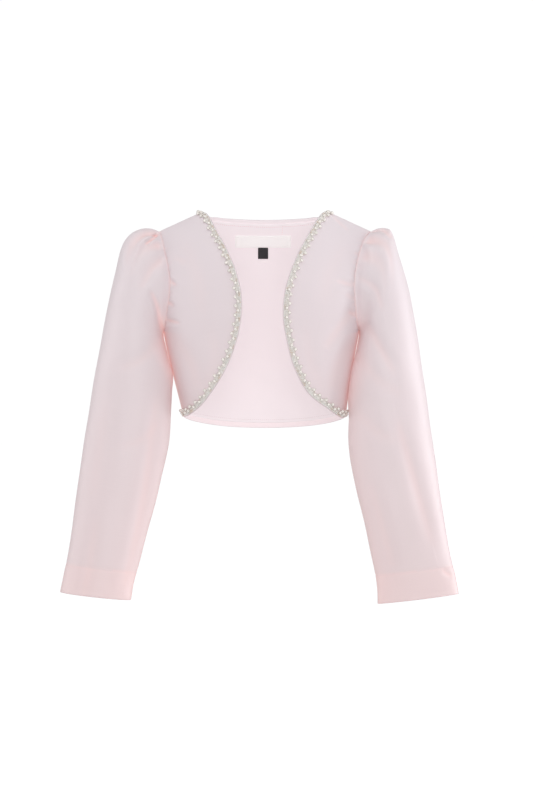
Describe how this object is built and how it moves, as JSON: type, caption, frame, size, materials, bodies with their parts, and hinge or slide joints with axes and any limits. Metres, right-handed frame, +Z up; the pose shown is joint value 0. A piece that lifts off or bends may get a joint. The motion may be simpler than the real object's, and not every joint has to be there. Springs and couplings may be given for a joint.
{
  "type": "bolero jacket",
  "caption": "Child's cropped satin bolero, open at the front, with long gathered sleeves and beaded braid along the front edges, in its worn shape.",
  "frame": {"origin": "midway between the two points where the shoulder seams meet the neck, at their height", "axes": "+Z up, -Y out of the open front, +X towards the viewer's right when the front is looked at, which is the wearer's left"},
  "size_m": [0.4918, 0.1506, 0.4894],
  "materials": {
    "pink_satin": "pale pink satin, soft sheen",
    "pale_lining": "smooth pale pink lining",
    "silver_braid": "silvery braid sewn with beads and pearls",
    "white_label": "woven white tape",
    "black_tab": "woven black tape"
  },
  "bodies": {
    "root": {"front_left": "pink_satin", "front_right": "pink_satin", "back": "pink_satin", "back_lining": "pale_lining", "sleeve_left": "pink_satin", "sleeve_right": "pink_satin", "trim_left": "silver_braid", "trim_right": "silver_braid", "neck_label": "white_label", "size_tab": "black_tab"}
  },
  "joints": []
}
